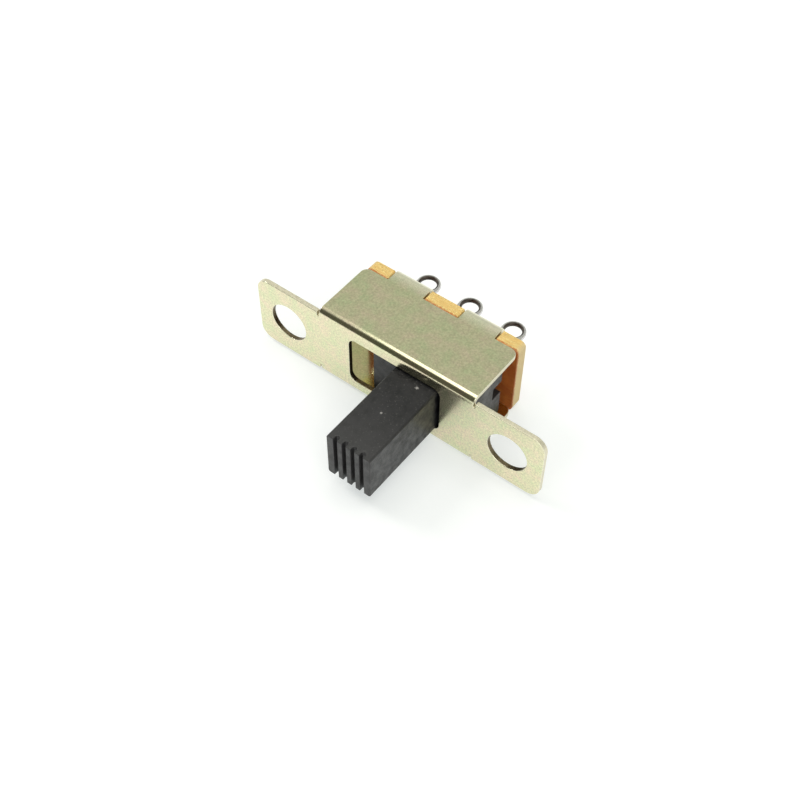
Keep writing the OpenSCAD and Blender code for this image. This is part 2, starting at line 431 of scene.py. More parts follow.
def make_black_plastic():
    """Moulded black plastic: fine spark-eroded texture, rubbed edges and a little dust."""
    material, tree = new_finish("moulded_plastic", Specular_IOR_Level=0.44)
    place = place_on_piece(tree)
    texture = grain(tree, 0.07, roughness=0.6)
    haze = grain(tree, 0.45, detail=4.0, roughness=0.6)
    colour = blend(tree, spread(tree, haze, 0.35, 0.7), PLASTIC, PLASTIC_HAZY)
    dust = spread(tree, grain(tree, 0.11, detail=2.0, roughness=0.8), 0.62, 0.78, 0.0, 0.3)
    ragged = spread(tree, texture, 0.2, 0.8, 0.6, 1.6)
    for centre, size in NICKS:
        reach = add_node(tree, "ShaderNodeVectorMath", {0: place, 1: centre}, operation="DISTANCE")["Value"]
        reach = combine(tree, "MULTIPLY", reach, ragged)
        dust = combine(tree, "MAXIMUM", dust, spread(tree, reach, 0.4 * size, size, 1.0, 0.0))
    colour = blend(tree, dust, colour, DUST)
    link_finish(tree, blend(tree, edge_wear(tree, 0.3, 0.25), colour, PLASTIC_RUBBED),
                spread(tree, haze, 0.35, 0.65, 0.28, 0.56), relief(tree, texture, 0.008))
    return material


BRONZE_DARK = rgb(0.66, 0.44, 0.20)
BRONZE_LIGHT = rgb(0.80, 0.60, 0.32)


def make_bronze():
    """Spring bronze strip: smooth rolled faces with fine lines along the strip."""
    material, tree = new_finish("rolled_bronze", Metallic=1.0)
    clouds = grain(tree, 0.4)
    rolled = grain(tree, 0.04, detail=2.0, stretch=(1, 10, 10))
    link_finish(tree, blend(tree, vary(tree, clouds), BRONZE_DARK, BRONZE_LIGHT),
                vary(tree, clouds, 0.28, 0.2), relief(tree, rolled, 0.0015))
    return material


# ---- outlines

ARC_STEP = 11.25


def arc(centre, radius, start, end):
    """Points along an arc between two angles in degrees."""
    count = max(3, round(abs(end - start) / ARC_STEP))
    angles = [math.radians(start + (end - start) * i / count) for i in range(count + 1)]
    return [(centre[0] + radius * math.cos(a), centre[1] + radius * math.sin(a)) for a in angles]


def round_corner(before, corner, after, radius):
    """Points of the arc that replaces a corner between two straight runs."""
    here = Vector(corner)
    to_before = (Vector(before) - here).normalized()
    to_after = (Vector(after) - here).normalized()
    half = math.acos(to_before.dot(to_after)) / 2
    centre = here + (to_before + to_after).normalized() * radius / math.sin(half)
    spoke = here + to_before * radius / math.tan(half) - centre
    start = math.degrees(math.atan2(spoke.y, spoke.x))
    turn = math.copysign(180 - math.degrees(2 * half), to_after.cross(to_before))
    return arc(centre, radius, start, start + turn)


def rounded(corners):
    """Closed outline through corners given as (x, y, radius), anticlockwise."""
    points = []
    for before, corner, after in zip(corners[-1:] + corners[:-1], corners, corners[1:] + corners[:1]):
        points += round_corner(before[:2], corner[:2], after[:2], corner[2])
    return points


def rounded_rect(half_width, half_height, radius, centre=(0.0, 0.0)):
    """Closed outline of a rectangle with round corners, anticlockwise."""
    return rounded([(centre[0] + x * half_width, centre[1] + y * half_height, radius)
                    for x, y in ((1, -1), (1, 1), (-1, 1), (-1, -1))])


def circle(centre, radius):
    """Closed round outline, anticlockwise."""
    return arc(centre, radius, 0, 360)[:-1]


def mirrored(quarter):
    """Outline with the same corners in all four quarters, from those of the upper right quarter."""
    upper = quarter + [(-x, y, *rest) for x, y, *rest in reversed(quarter)]
    return upper + [(-x, -y, *rest) for x, y, *rest in upper]


def mitres(loop):
    """For each point of a closed outline, the step outwards that moves both of its sides by 1."""
    steps = []
    for before, here, after in zip(loop[-1:] + loop[:-1], loop, loop[1:] + loop[:1]):
        first = (Vector(here) - Vector(before)).normalized()
        second = (Vector(after) - Vector(here)).normalized()
        first, second = Vector((first.y, -first.x)), Vector((second.y, -second.x))
        steps.append((first + second) / (1 + first.dot(second)))
    return steps


def grown(loop, distance):
    """A closed outline moved outwards, or inwards by a negative distance."""
    return [tuple(Vector(point) + step * distance) for point, step in zip(loop, mitres(loop))]


def divided(loop, step):
    """A closed outline with its straight runs divided into short ones."""
    points = []
    for (ax, ay), (bx, by) in zip(loop, loop[1:] + loop[:1]):
        count = max(1, round(math.hypot(bx - ax, by - ay) / step))
        points += [(ax + (bx - ax) * i / count, ay + (by - ay) * i / count) for i in range(count)]
    return points


def enclosed(points, loop):
    """Which of the points lie inside a closed outline, as an array of booleans."""
    inside = np.zeros(len(points), bool)
    x, y = points[:, 0], points[:, 1]
    for (ax, ay), (bx, by) in zip(loop, loop[1:] + loop[:1]):
        if ay != by:
            inside ^= ((ay > y) != (by > y)) & (x < (bx - ax) * (y - ay) / (by - ay) + ax)
    return inside


def in_material(points, loops):
    """Which of the points lie inside the first outline and outside the others."""
    inside = enclosed(points, loops[0])
    for hole in loops[1:]:
        inside &= ~enclosed(points, hole)
    return inside


# ---- mesh helpers

def new_object(name, data):
    """An object in the scene that carries a mesh, a lamp or a camera."""
    made = bpy.data.objects.new(name, data)
    bpy.context.scene.collection.objects.link(made)
    return made


def mesh_from(name, points, edges=(), faces=()):
    """A mesh that is shaded smooth."""
    mesh = bpy.data.meshes.new(name)
    mesh.from_pydata(points, edges, faces)
    for polygon in mesh.polygons:
        polygon.use_smooth = True
    mesh.update()
    return mesh


def outline_object(name, loops):
    """Closed outlines as edges on the XY plane, for a Geometry Nodes tree. The holes are marked."""
    points, edges, holes = [], [], []
    for number, loop in enumerate(loops):
        first, count = len(points), len(loop)
        points += [(x, y, 0.0) for x, y in (loop if number == 0 else reversed(loop))]
        edges += [(first + i, first + (i + 1) % count) for i in range(count)]
        holes += [number > 0] * count
    mesh = mesh_from(name, points, edges)
    mesh.attributes.new("hole", "BOOLEAN", "POINT").data.foreach_set("value", holes)
    return new_object(name, mesh)


RIM_STEPS = 4


def rounded_edge(thickness, radius):
    """Section of a plate's rounded edge as (outwards, down), from the front face to the back."""
    turns = [math.pi / 2 * i / RIM_STEPS for i in range(RIM_STEPS + 1)]
    upper = [(radius * math.sin(a), radius * (1 - math.cos(a))) for a in turns]
    return upper + [(reach, thickness - depth) for reach, depth in reversed(upper)]


def edge_section(thickness, radius):
    """A plate's rounded edge as an open line on the XY plane, for a Geometry Nodes tree."""
    points = [(reach, -depth, 0.0) for reach, depth in rounded_edge(thickness, radius)]
    edges = [(i, i + 1) for i in range(len(points) - 1)]
    return new_object("edge_section", mesh_from("edge_section", points, edges))


def prism(name, loop, start, end, axis):
    """A solid with straight sides along one axis. Its outline is given in the other two axes."""
    turn = {"x": lambda a, b, c: (c, a, b), "y": lambda a, b, c: (a, c, b),
            "z": lambda a, b, c: (a, b, c)}[axis]
    count = len(loop)
    points = [turn(a, b, c) for c in (start, end) for a, b in loop]
    faces = [tuple(range(count)), tuple(range(2 * count - 1, count - 1, -1))]
    faces += [(i, count + i, count + (i + 1) % count, (i + 1) % count) for i in range(count)]
    mesh = mesh_from(name, points, faces=faces)
    shape = bmesh.new()
    shape.from_mesh(mesh)
    bmesh.ops.recalc_face_normals(shape, faces=shape.faces)
    shape.to_mesh(mesh)
    shape.free()
    return new_object(name, mesh)


def soften(target, width, angle=30):
    """Rounds the sharp edges and keeps the flat faces flat in the shading."""
    rounding = target.modifiers.new("rounding", "BEVEL")
    rounding.width = width
    rounding.segments = 2
    rounding.limit_method = "ANGLE"
    rounding.angle_limit = math.radians(angle)
    rounding.use_clamp_overlap = False
    rounding.miter_outer = "MITER_ARC"
    rounding.face_strength_mode = "FSTR_ALL"
    shading = target.modifiers.new("shading", "WEIGHTED_NORMAL")
    shading.use_face_influence = True


EDGE_FLAT = 11  # degrees of turn up to which there is no edge
EDGE_SHARP = 25  # degrees of turn that make a full edge


def mark_edges(mesh):
    """Stores how sharply a piece turns outwards at each point, from 0 on flats to 1 on edges."""
    shape = bmesh.new()
    shape.from_mesh(mesh)
    values = []
    for vertex in shape.verts:
        turns = [edge.calc_face_angle_signed(0.0) for edge in vertex.link_edges]
        sharpest = math.degrees(max(turns, default=0.0))
        values.append(min(1.0, max(0.0, (sharpest - EDGE_FLAT) / (EDGE_SHARP - EDGE_FLAT))))
    shape.free()
    attribute = mesh.attributes.new("edge", "FLOAT", "POINT")
    attribute.data.foreach_set("value", values)


def finish_piece(source, name, body, node):
    """Applies the modifiers, scales the piece to metres and rides it on its body."""
    evaluated = source.evaluated_get(bpy.context.evaluated_depsgraph_get())
    mesh = bpy.data.meshes.new_from_object(evaluated)
    mesh.name = name
    mesh.transform(Matrix.Scale(MM, 4))
    mark_edges(mesh)
    bpy.data.objects.remove(source)
    piece = new_object(name, mesh)
    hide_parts(node)
    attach(piece, body)


# ---- folded frame

bend_outer_r = bend_r + sheet_t
fold_outer_r = tab_fold_r + sheet_t
plate_half = body_half_h - bend_outer_r  # flat front, up to each bend line
fold_y = board_back - tab_fold_r
fold_z = body_half_h - fold_outer_r
wall_start = plate_half + bend_outer_r * math.pi / 2
wall_end = wall_start + wall_depth - bend_outer_r
fold_start = wall_start + fold_y - bend_outer_r
leg_start = fold_start + fold_outer_r * math.pi / 2
tab_end = leg_start + fold_z - (body_half_h - tab_leg)
RELIEF_R = 0.05
TAB_ROOT_R = 0.06
BEND_STEPS = 10
BLANK_STEP = 0.2
RIM_CLEARANCE = 0.07
SAME_POINT = 1e-5
OFF_SQUARE = 5  # degrees by which two joined triangles may miss a square
WAVE_SIZE = 2.6  # a faint unevenness of the rolled sheet
WAVE_DEPTH = 0.005
FRONT, RIM, OPENING, BACK = range(4)  # the sheet's finishes, in order


def folded(u, v, depth):
    """Where a point of the flat blank lies on the folded frame, at a depth below the outer face."""
    side = 1 if v > 0 else -1
    run = abs(v)
    if abs(u) > body_half + relief_w / 2 or run <= plate_half:
        return (u, depth, v)
    if run <= wall_start:
        turn, radius = (run - plate_half) / bend_outer_r, bend_outer_r - depth
        return (u, bend_outer_r - radius * math.cos(turn), side * (plate_half + radius * math.sin(turn)))
    if run <= fold_start:
        return (u, bend_outer_r + run - wall_start, side * (body_half_h - depth))
    if run <= leg_start:
        turn, radius = (run - fold_start) / fold_outer_r, fold_outer_r - depth
        return (u, fold_y + radius * math.sin(turn), side * (fold_z + radius * math.cos(turn)))
    return (u, board_back + sheet_t - depth, side * (fold_z - (run - leg_start)))


def blank_outline():
    """Outline of the flat blank: two ears, relief notches, two walls and four tabs."""
    notch = plate_half - relief_depth
    return rounded(mirrored([
        (flange_half, ear_half_h, ear_corner_r),
        (body_half + relief_w, ear_half_h, RELIEF_R),
        (body_half + relief_w, notch, RELIEF_R),
        (body_half, notch, RELIEF_R),
        (body_half, wall_end, wall_corner_r),
        (tab_x + tab_half_w, wall_end, TAB_ROOT_R),
        (tab_x + tab_half_w, tab_end, tab_corner_r),
        (tab_x - tab_half_w, tab_end, tab_corner_r),
        (tab_x - tab_half_w, wall_end, TAB_ROOT_R)]))


def blank_rows():
    """Heights of the rows of points over the blank, and the ends of each row that lies in a bend."""
    whole = [(rim_round - body_half, body_half - rim_round)]
    tabs = [(side * tab_x - tab_half_w + rim_round, side * tab_x + tab_half_w - rim_round)
            for side in (-1, 1)]
    zones = ((0.0, plate_half, []), (plate_half, wall_start, whole), (wall_start, fold_start, []),
             (fold_start, leg_start, tabs), (leg_start, tab_end, []))
    rows, bends = set(), []
    for start, end, spans in zones:
        steps = BEND_STEPS if spans else max(1, round((end - start) / BLANK_STEP))
        for i in range(steps + 1):
            run = start + (end - start) * i / steps
            rows.update((run, -run))
            bends += [(side * run, low, high) for side in (-1, 1) for low, high in spans]
    return sorted(rows), bends


def blank_skin(loops, rows, bends):
    """Fills an outline and its holes with small faces that follow the rows."""
    rim = np.array([point for loop in loops for point in loop])
    grid = np.array([(u, v) for v in rows for u in np.arange(-flange_half, flange_half, BLANK_STEP)])
    to_rim = np.hypot(grid[:, None, 0] - rim[None, :, 0], grid[:, None, 1] - rim[None, :, 1]).min(axis=1)
    grid = grid[in_material(grid, loops) & (to_rim > RIM_CLEARANCE)]
    points, edges = [], []
    for loop in loops:
        first, count = len(points), len(loop)
        points += loop
        edges += [(first + i, first + (i + 1) % count) for i in range(count)]
    for v, low, high in bends:
        edges.append((len(points), len(points) + 1))
        points += [(low, v), (high, v)]
    points += [tuple(point) for point in grid]
    points, _, faces, *_ = delaunay_2d_cdt([Vector(point) for point in points], edges, [], 0, SAME_POINT,
                                           False)
    middles = np.array([sum((points[i] for i in face), Vector((0, 0))) / 3 for face in faces])
    inside = in_material(middles, loops)
    mesh = mesh_from("skin", [(u, v, 0.0) for u, v in points],
                     faces=[face for face, solid in zip(faces, inside) if solid])
    shape = bmesh.new()
    shape.from_mesh(mesh)
    bmesh.ops.delete(shape, geom=[v for v in shape.verts if not v.link_faces], context="VERTS")
    bmesh.ops.join_triangles(shape, faces=shape.faces, angle_face_threshold=math.pi,
                             angle_shape_threshold=math.radians(OFF_SQUARE))
    bpy.data.meshes.remove(mesh)
    return shape


def rim_loops(shape):
    """The closed loops of points round the edge of a skin, each with the material on its left."""
    following = {loop.vert: loop.link_loop_next.vert
                 for face in shape.faces for loop in face.loops if loop.edge.is_boundary}
    loops = []
    while following:
        start, here = following.popitem()
        loop = [start]
        while here is not start:
            loop.append(here)
            here = following.pop(here)
        loops.append(loop)
    return loops


def thicken(shape, thickness):
    """Adds the rims and the back face, each with its own finish."""
    rims = rim_loops(shape)
    front = list(shape.faces)
    back = {vertex: shape.verts.new((vertex.co.x, vertex.co.y, thickness)) for vertex in list(shape.verts)}
    for face in front:
        shape.faces.new([back[vertex] for vertex in reversed(face.verts)]).material_index = BACK
    outer = max(rims, key=len)
    for rim in rims:
        torn = RIM if rim is outer else OPENING
        outwards = mitres([(vertex.co.x, vertex.co.y) for vertex in rim])
        rings = [rim]
        for reach, depth in rounded_edge(thickness, rim_round)[1:-1]:
            rings.append([shape.verts.new((vertex.co.x + step.x * reach, vertex.co.y + step.y * reach, depth))
                          for vertex, step in zip(rim, outwards)])
        rings.append([back[vertex] for vertex in rim])
        for row, (near, far) in enumerate(zip(rings, rings[1:])):
            for i in range(len(rim)):
                face = shape.faces.new((near[i], near[i - 1], far[i - 1], far[i]))
                face.material_index = FRONT if row < RIM_STEPS else torn


def build_frame(*finishes):
    """Blanks the sheet, gives it its thickness and folds it."""
    loops = [divided(grown(blank_outline(), -rim_round), BLANK_STEP),
             divided(rounded_rect(window_half_w + rim_round, window_half_h + rim_round,
                                  window_corner_r + rim_round), BLANK_STEP)]
    loops += [circle((side * hole_x, 0.0), hole_r + rim_round) for side in (-1, 1)]
    shape = blank_skin(loops, *blank_rows())
    thicken(shape, sheet_t)
    for vertex in shape.verts:
        u, v, depth = vertex.co
        wave = 0.5 + 0.5 * noise.noise(Vector((u, v, 0)) / WAVE_SIZE)
        vertex.co = folded(u, v, depth + WAVE_DEPTH * wave)
    for face in shape.faces:
        face.smooth = True
    mesh = bpy.data.meshes.new("sheet")
    shape.to_mesh(mesh)
    shape.free()
    for finish in finishes:
        mesh.materials.append(finish)
    sheet = new_object("sheet", mesh)
    sheet.modifiers.new("shading", "WEIGHTED_NORMAL")
    finish_piece(sheet, "folded_frame", "housing", "frame")


# ---- Geometry Nodes

WELD = 0.002
ALONG_X = (math.pi / 2, 0.0, math.pi / 2)


def new_tree(name, **inputs):
    """A Geometry Nodes tree that takes a geometry and the named inputs, and gives a geometry."""
    tree = bpy.data.node_groups.new(name, "GeometryNodeTree")
    tree.interface.new_socket("Geometry", in_out="INPUT", socket_type="NodeSocketGeometry")
    tree.interface.new_socket("Geometry", in_out="OUTPUT", socket_type="NodeSocketGeometry")
    for label, kind in inputs.items():
        tree.interface.new_socket(label.replace("_", " "), in_out="INPUT", socket_type="NodeSocket" + kind)
    return tree, tree.nodes.new("NodeGroupInput").outputs, tree.nodes.new("NodeGroupOutput").inputs


def run_tree(target, tree, **values):
    """Puts a tree on an object and sets its inputs."""
    modifier = target.modifiers.new(tree.name, "NODES")
    modifier.node_group = tree
    for item in tree.interface.items_tree:
        label = item.name.replace(" ", "_")
        if item.in_out == "INPUT" and label in values:
            modifier[item.identifier] = values[label]


def geo_node(tree, kind, links, **settings):
    """Adds a geometry node and gives its first output."""
    return add_node(tree, kind, links, **settings)[0]


def joined(tree, *parts):
    """Joins geometries."""
    both = tree.nodes.new("GeometryNodeJoinGeometry")
    for part in parts:
        tree.links.new(part, both.inputs[0])
    return both.outputs[0]


def cut(tree, shape, cutter):
    """Cuts one solid out of another."""
    return geo_node(tree, "GeometryNodeMeshBoolean", {"Mesh 1": shape, "Mesh 2": cutter},
                    operation="DIFFERENCE", solver="EXACT")


def vector_of(tree, **axes):
    """A vector with the given axes, and 0 along the others."""
    return add_node(tree, "ShaderNodeCombineXYZ", axes)["Vector"]


def shape_of(tree, tool):
    """The shape of another object."""
    return add_node(tree, "GeometryNodeObjectInfo", {"Object": tool})["Geometry"]


def row_of(tree, tool, count, start, pitch):
    """Copies of another object in a row along X, as real geometry."""
    row = geo_node(tree, "GeometryNodeMeshLine",
                   {"Count": count, "Start Location": start, "Offset": vector_of(tree, X=pitch)})
    copies = geo_node(tree, "GeometryNodeInstanceOnPoints",
                      {"Points": row, "Instance": shape_of(tree, tool)})
    return geo_node(tree, "GeometryNodeRealizeInstances", {"Geometry": copies})


def with_finish(tree, shape, finish):
    """Makes all geometry real and sets its material, as each tree does at its end."""
    shape = geo_node(tree, "GeometryNodeRealizeInstances", {"Geometry": shape})
    return geo_node(tree, "GeometryNodeSetMaterial", {"Geometry": shape, "Material": finish})


def named_value(tree, name):
    """Reads a true-or-false attribute."""
    return add_node(tree, "GeometryNodeInputNamedAttribute", {"Name": name},
                    data_type="BOOLEAN")["Attribute"]


def marked_faces(tree, shape, name, value):
    """Stores a true-or-false attribute on the faces."""
    return geo_node(tree, "GeometryNodeStoreNamedAttribute",
                    {"Geometry": shape, "Name": name, "Value": value},
                    data_type="BOOLEAN", domain="FACE")


def punched_plate_tree():
    """Fills outlines to make a plate's two faces, and runs its rounded edge section round them."""
    tree, given, result = new_tree("punched_plate", Edge_Section="Object", Thickness="Float",
                                   Place="Vector", Turn="Vector", Face_Finish="Material",
                                   Edge_Finish="Material", Hole_Finish="Material")
    outline = geo_node(tree, "GeometryNodeMeshToCurve", {"Mesh": given["Geometry"]})
    section = geo_node(tree, "GeometryNodeMeshToCurve", {"Mesh": shape_of(tree, given["Edge Section"])})
    rims = geo_node(tree, "GeometryNodeCurveToMesh", {"Curve": outline, "Profile Curve": section})
    rims = geo_node(tree, "GeometryNodeFlipFaces", {"Mesh": rims})
    rims = marked_faces(tree, rims, "rim", True)
    rims = marked_faces(tree, rims, "opening", named_value(tree, "hole"))
    face = geo_node(tree, "GeometryNodeFillCurve", {"Curve": outline}, mode="NGONS")
    base = geo_node(tree, "GeometryNodeFlipFaces", {"Mesh": face})
    lift = vector_of(tree, Z=given["Thickness"])
    top = geo_node(tree, "GeometryNodeTransform", {"Geometry": face, "Translation": lift})
    plate = joined(tree, base, top, rims)
    plate = geo_node(tree, "GeometryNodeMergeByDistance", {"Geometry": plate, "Distance": WELD})
    plate = geo_node(tree, "GeometryNodeSetShadeSmooth", {"Geometry": plate})
    plate = geo_node(tree, "GeometryNodeTransform",
                     {"Geometry": plate, "Translation": given["Place"], "Rotation": given["Turn"]})
    plate = with_finish(tree, plate, given["Face Finish"])
    for mark, finish in (("rim", "Edge Finish"), ("opening", "Hole Finish")):
        plate = geo_node(tree, "GeometryNodeSetMaterial",
                         {"Geometry": plate, "Selection": named_value(tree, mark),
                          "Material": given[finish]})
    tree.links.new(plate, result[0])
    return tree


def grip_grooves_tree():
    """Cuts a row of round-bottomed grooves, all of one outline, across the end of the lever."""
    tree, given, result = new_tree("grip_grooves", Groove="Object", Count="Int", Pitch="Float",
                                   First="Vector", Finish="Material")
    cutters = row_of(tree, given["Groove"], given["Count"], given["First"], given["Pitch"])
    lever = cut(tree, given["Geometry"], cutters)
    tree.links.new(with_finish(tree, lever, given["Finish"]), result[0])
    return tree


def contact_clip_tree():
    """Raises the section of the fingers to the clip's full width, parts the pairs and adds the beads."""
    tree, given, result = new_tree("contact_clip", Width="Float", Spacing="Float", Middle="Float",
                                   Bead="Object", Gap="Object", Finish="Material")
    curve = geo_node(tree, "GeometryNodeMeshToCurve", {"Mesh": given["Geometry"]})
    face = geo_node(tree, "GeometryNodeFillCurve", {"Curve": curve}, mode="NGONS")
    rise = vector_of(tree, Z=given["Width"])
    raised = geo_node(tree, "GeometryNodeExtrudeMesh", {"Mesh": face, "Offset": rise, "Individual": False})
    strip = joined(tree, geo_node(tree, "GeometryNodeFlipFaces", {"Mesh": face}), raised)
    strip = geo_node(tree, "GeometryNodeMergeByDistance", {"Geometry": strip, "Distance": WELD})
    strip = geo_node(tree, "GeometryNodeSetShadeSmooth", {"Geometry": strip})
    side, first = [vector_of(tree, X=combine(tree, "SUBTRACT", given["Middle"],
                                             combine(tree, "MULTIPLY", given[length], 0.5)))
                   for length in ("Width", "Spacing")]
    strip = geo_node(tree, "GeometryNodeTransform",
                     {"Geometry": strip, "Rotation": ALONG_X, "Translation": side})
    pairs = cut(tree, strip, shape_of(tree, given["Gap"]))
    beads = row_of(tree, given["Bead"], 2, first, given["Spacing"])
    clip = geo_node(tree, "GeometryNodeMeshBoolean",
                    {"Mesh 2": joined(tree, pairs, beads), "Self Intersection": True},
                    operation="UNION", solver="EXACT")
    clip = geo_node(tree, "GeometryNodeSetShadeSmooth", {"Geometry": clip})
    tree.links.new(with_finish(tree, clip, given["Finish"]), result[0])
    return tree


# ---- terminal board

NOTCH_R = 0.08
SLOT_R = 0.05
BOARD_ROUND = 0.03


def board_outlines():
    """Outlines of the board with a notch for each tab, and of its three slots."""
    notch_half_w = tab_half_w + notch_gap
    loop = rounded(mirrored([
        (board_high.x, board_high.z, board_corner_r),
        (tab_x + notch_half_w, board_high.z, NOTCH_R),
        (tab_x + notch_half_w, fold_z, NOTCH_R),
        (tab_x - notch_half_w, fold_z, NOTCH_R),
        (tab_x - notch_half_w, board_high.z, NOTCH_R)]))
    slot = rounded_rect(terminal_half_w + slot_gap, terminal_t / 2 + slot_gap, SLOT_R)
    return [loop] + [[(x + i * terminal_pitch, z) for x, z in slot] for i in (-1, 0, 1)]


def build_plate(tree, name, node, outlines, thickness, rounding, place, turn, finishes):
    """A punched plate in its place, with finishes for its faces, its edge and its holes."""
    outer, *holes = outlines
    loops = [grown(outer, -rounding)] + [grown(hole, rounding) for hole in holes]
    plate = outline_object("outline", loops)
    section = edge_section(thickness, rounding)
    run_tree(plate, tree, Edge_Section=section, Thickness=thickness, Place=place, Turn=turn,
             Face_Finish=finishes[0], Edge_Finish=finishes[1], Hole_Finish=finishes[2])
    plate.modifiers.new("shading", "WEIGHTED_NORMAL")
    finish_piece(plate, name, "housing", node)
    bpy.data.objects.remove(section)


def build_board(tree, face, edge):
    """The punched laminate board that the tabs hold in the back of the frame."""
    build_plate(tree, "punched_board", "terminal_board", board_outlines(), board_t,
                BOARD_ROUND, (0.0, board_back, 0.0), (math.pi / 2, 0.0, 0.0), (face, edge, edge))


# ---- terminals

LUG_ROUND = 0.11


def terminal_outlines():
    """Contact blade, shank, staked barbs, and a round end with its wire hole."""
    right = arc((blade_half_w - blade_corner_r, blade_tip + blade_corner_r), blade_corner_r, -90, 0)
    right += [(blade_half_w, wall_depth), (terminal_half_w, wall_depth), (terminal_half_w, board_back),
              (terminal_half_w + barb_w, board_back), (terminal_half_w, board_back + barb_len)]
    left = [(-x, y) for x, y in reversed(right)]
    return [right + arc((0.0, eyelet_y), terminal_half_w, 0, 180) + left,
            circle((0.0, eyelet_y), wire_hole_r)]


def build_terminals(tree, tin, hole_tin):
    """Three tinned solder lugs, staked in the board's slots."""
    for i, side in enumerate(("left", "middle", "right")):
        build_plate(tree, "solder_lug_" + side, "terminal_" + side, terminal_outlines(),
                    terminal_t, LUG_ROUND, ((i - 1) * terminal_pitch, 0.0, -terminal_t / 2),
                    (0.0, 0.0, 0.0), (tin, tin, hole_tin))


# ---- slider

SLIDER_ROUND = 0.035
LEVER_ROOT = 0.2  # how far the lever runs into the block
GROOVE_PAST = 0.1  # how far the grooves' cutter starts before the lever's tip
CUT_PAST = 0.5  # how far the other cutters run past the block


def cut_out(name, half_len, front, half_h):
    """Cutter in the middle of the slider, from its front at this depth to past the slider's back."""
    low, high = slider_x - half_len, slider_x + half_len
    back = block_back + CUT_PAST
    return prism(name, [(low, front), (high, front), (high, back), (low, back)], -half_h, half_h, "z")


def build_slider(tree, plastic):
    """Lever with grip grooves, and the block behind the flange with its pocket and slots."""
    section = rounded_rect(lever_half_w, lever_half_h, lever_edge_r, (slider_x, 0.0))
    lever = prism("lever", section, lever_tip, block_front + LEVER_ROOT, "y")
    lever.data.materials.append(plastic)
    groove_r = groove_w / 2
    groove = arc((0.0, rib_depth - groove_r), groove_r, 0, 180)
    groove = [(groove_r, -GROOVE_PAST)] + groove + [(-groove_r, -GROOVE_PAST)]
    groove = prism("groove", groove, -2 * lever_half_h, 2 * lever_half_h, "z")
    first = (slider_x - lever_half_w + rib_pitch, lever_tip, 0.0)
    run_tree(lever, tree, Groove=groove, Count=rib_count - 1, Pitch=rib_pitch, First=first, Finish=plastic)

    middle = ((block_front + block_back) / 2, 0.0)
    section = rounded_rect((block_back - block_front) / 2, block_half_h, block_edge_r, middle)
    block = prism("block", section, slider_x - block_half_len, slider_x + block_half_len, "x")
    pocket = cut_out("pocket", pocket_half_len, pocket_front, pocket_half_h)
    slot = cut_out("blade_slot", block_half_len + CUT_PAST, blade_slot_front, blade_slot_half_h)
    for tool, operation in ((block, "UNION"), (pocket, "DIFFERENCE"), (slot, "DIFFERENCE")):
        change = lever.modifiers.new(tool.name, "BOOLEAN")
        change.operation = operation
        change.solver = "EXACT"
        change.object = tool
    soften(lever, SLIDER_ROUND)
    finish_piece(lever, "moulded_slider", "slider", "slider")
    for tool in (groove, block, pocket, slot):
        bpy.data.objects.remove(tool)


# ---- contact clip

CLIP_ROUND = 0.02
CLIP_BEND_R = 0.15
BRIDGE_HALF_H = 0.65
GAP_CLEARANCE = 0.05
GAP_BACK = block_back + 1


def pair_section():
    """Section of a pair of fingers as (Y, Z): a strip from one flared mouth round the base to the other."""
    root = (pocket_front + clip_t / 2, clip_half_h - clip_t / 2)
    upper = [(mouth_y, mouth_z), (bead_y + finger_land, finger_z), (bead_y - finger_land, finger_z), root]
    corners = upper + [(y, -z) for y, z in reversed(upper)]
    path = corners[:1]
    for before, corner, after in zip(corners, corners[1:], corners[2:]):
        path += round_corner(before, corner, after, CLIP_BEND_R)
    path += corners[-1:]
    ahead = path[1:] + path[-1:]
    behind = path[:1] + path[:-1]
    runs = [(Vector(b) - Vector(a)).normalized() for a, b in zip(behind, ahead)]
    across = [Vector((-run.y, run.x)) * clip_t / 2 for run in runs]
    outer = [tuple(Vector(point) - side) for point, side in zip(path, across)]
    inner = [tuple(Vector(point) + side) for point, side in zip(path, across)]
    return outer + inner[::-1]


def bead_balls():
    """A ball for each finger of a pair, sunk in the finger so that only a bead shows."""
    shape = bmesh.new()
    for side in (-1, 1):
        place = Matrix.Translation((0.0, bead_y, side * (finger_z - clip_t / 2 - bead_h + bead_r)))
        bmesh.ops.create_uvsphere(shape, u_segments=24, v_segments=12, radius=bead_r, matrix=place)
    balls = bpy.data.meshes.new("beads")
    shape.to_mesh(balls)
    shape.free()
    return new_object("beads", balls)


def build_clip(tree, bronze):
    """Bronze clip that joins two neighbouring blades, with a pair of fingers at each."""
    beads = bead_balls()
    open_y = pocket_front + clip_t + GAP_CLEARANCE
    gap = [(0.0, BRIDGE_HALF_H), (open_y, BRIDGE_HALF_H), (open_y, -BRIDGE_HALF_H), (0.0, -BRIDGE_HALF_H),
           (0.0, -block_half_h), (GAP_BACK, -block_half_h), (GAP_BACK, block_half_h), (0.0, block_half_h)]
    gap_half_w = (travel - finger_w) / 2
    gap = prism("gap", gap, slider_x - gap_half_w, slider_x + gap_half_w, "x")
    clip = outline_object("finger_outline", [pair_section()])
    run_tree(clip, tree, Width=travel + finger_w, Spacing=travel, Middle=slider_x, Bead=beads, Gap=gap,
             Finish=bronze)
    soften(clip, CLIP_ROUND, 70)
    finish_piece(clip, "spring_clip", "slider", "contact_clip")
    for tool in (beads, gap):
        bpy.data.objects.remove(tool)


# ---- floor, world and lamps

FLOOR_SIZE = 4.0
FLOOR_COLOUR = rgb(0.60, 0.60, 0.60)
GLOW_COLOUR = rgb(0.93, 0.99, 1.0)
GLOW_NEAR = 0.47
GLOW_FAR = 0.82  # far out, where the lamps do not reach
GLOW_START = 100  # millimetres from the part
GLOW_END = 500


